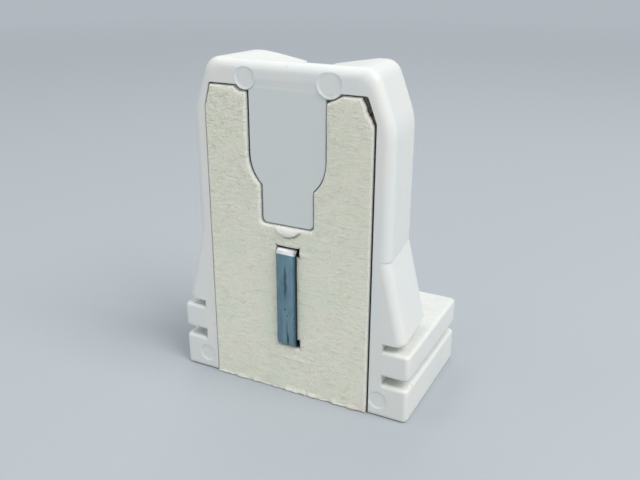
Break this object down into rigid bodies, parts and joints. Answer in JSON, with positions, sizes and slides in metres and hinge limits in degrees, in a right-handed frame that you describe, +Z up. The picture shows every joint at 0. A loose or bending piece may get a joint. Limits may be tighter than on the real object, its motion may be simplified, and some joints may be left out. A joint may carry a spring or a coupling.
{
  "type": "fluorescent lampholder",
  "caption": "Push-in fluorescent lampholder: a white moulded tombstone on a slide-on base, with a fibre back plate held by a steel clip.",
  "frame": {"origin": "middle of the underside of the base, in line with the lamp face", "axes": "+Z up from the base to the lamp slot, +Y from the back plate towards the lamp, +X across the holder, to the right as seen from the back"},
  "size_m": [0.0326, 0.0189, 0.0425],
  "materials": {
    "moulded_plastic": "white thermoplastic, satin moulded finish",
    "fibre_board": "grey-cream electrical fibre board with a horizontal grain and pale cut edges",
    "zinc_plated_steel": "bluish zinc-plated steel strip",
    "contact_bronze": "rolled phosphor bronze strip",
    "spring_steel": "bright rolled stainless spring steel"
  },
  "bodies": {
    "holder": {"housing": "moulded_plastic", "back_plate": "fibre_board", "plate_clip": "zinc_plated_steel", "left_contact": "contact_bronze", "right_contact": "contact_bronze", "left_wire_spring": "spring_steel", "right_wire_spring": "spring_steel"},
    "left_leaf": {"left_pin_leaf": "contact_bronze"},
    "left_rear_grip": {"left_rear_tongue": "spring_steel"},
    "left_front_grip": {"left_front_tongue": "spring_steel"},
    "right_leaf": {"right_pin_leaf": "contact_bronze"},
    "right_rear_grip": {"right_rear_tongue": "spring_steel"},
    "right_front_grip": {"right_front_tongue": "spring_steel"}
  },
  "joints": [
    {"name": "left_leaf_bend", "type": "hinge", "parent": "holder", "child": "left_leaf", "pos_m": [-0.00974, -0.0047, 0.023], "axis": [0, -1, 0], "range_deg": [0, 6], "stiffness_Nm_per_rad": 0.375},
    {"name": "left_rear_tongue_bend", "type": "hinge", "parent": "holder", "child": "left_rear_grip", "pos_m": [-0.00378, -0.00405, 0.003], "axis": [0, 1, 0], "range_deg": [0, 15], "stiffness_Nm_per_rad": 0.2},
    {"name": "left_front_tongue_bend", "type": "hinge", "parent": "holder", "child": "left_front_grip", "pos_m": [-0.00378, 0.00345, 0.003], "axis": [0, 1, 0], "range_deg": [0, 15], "stiffness_Nm_per_rad": 0.2},
    {"name": "right_leaf_bend", "type": "hinge", "parent": "holder", "child": "right_leaf", "pos_m": [0.00974, -0.0047, 0.023], "axis": [0, 1, 0], "range_deg": [0, 6], "stiffness_Nm_per_rad": 0.375},
    {"name": "right_rear_tongue_bend", "type": "hinge", "parent": "holder", "child": "right_rear_grip", "pos_m": [0.00378, -0.00405, 0.003], "axis": [0, -1, 0], "range_deg": [0, 15], "stiffness_Nm_per_rad": 0.2},
    {"name": "right_front_tongue_bend", "type": "hinge", "parent": "holder", "child": "right_front_grip", "pos_m": [0.00378, 0.00345, 0.003], "axis": [0, -1, 0], "range_deg": [0, 15], "stiffness_Nm_per_rad": 0.2}
  ]
}
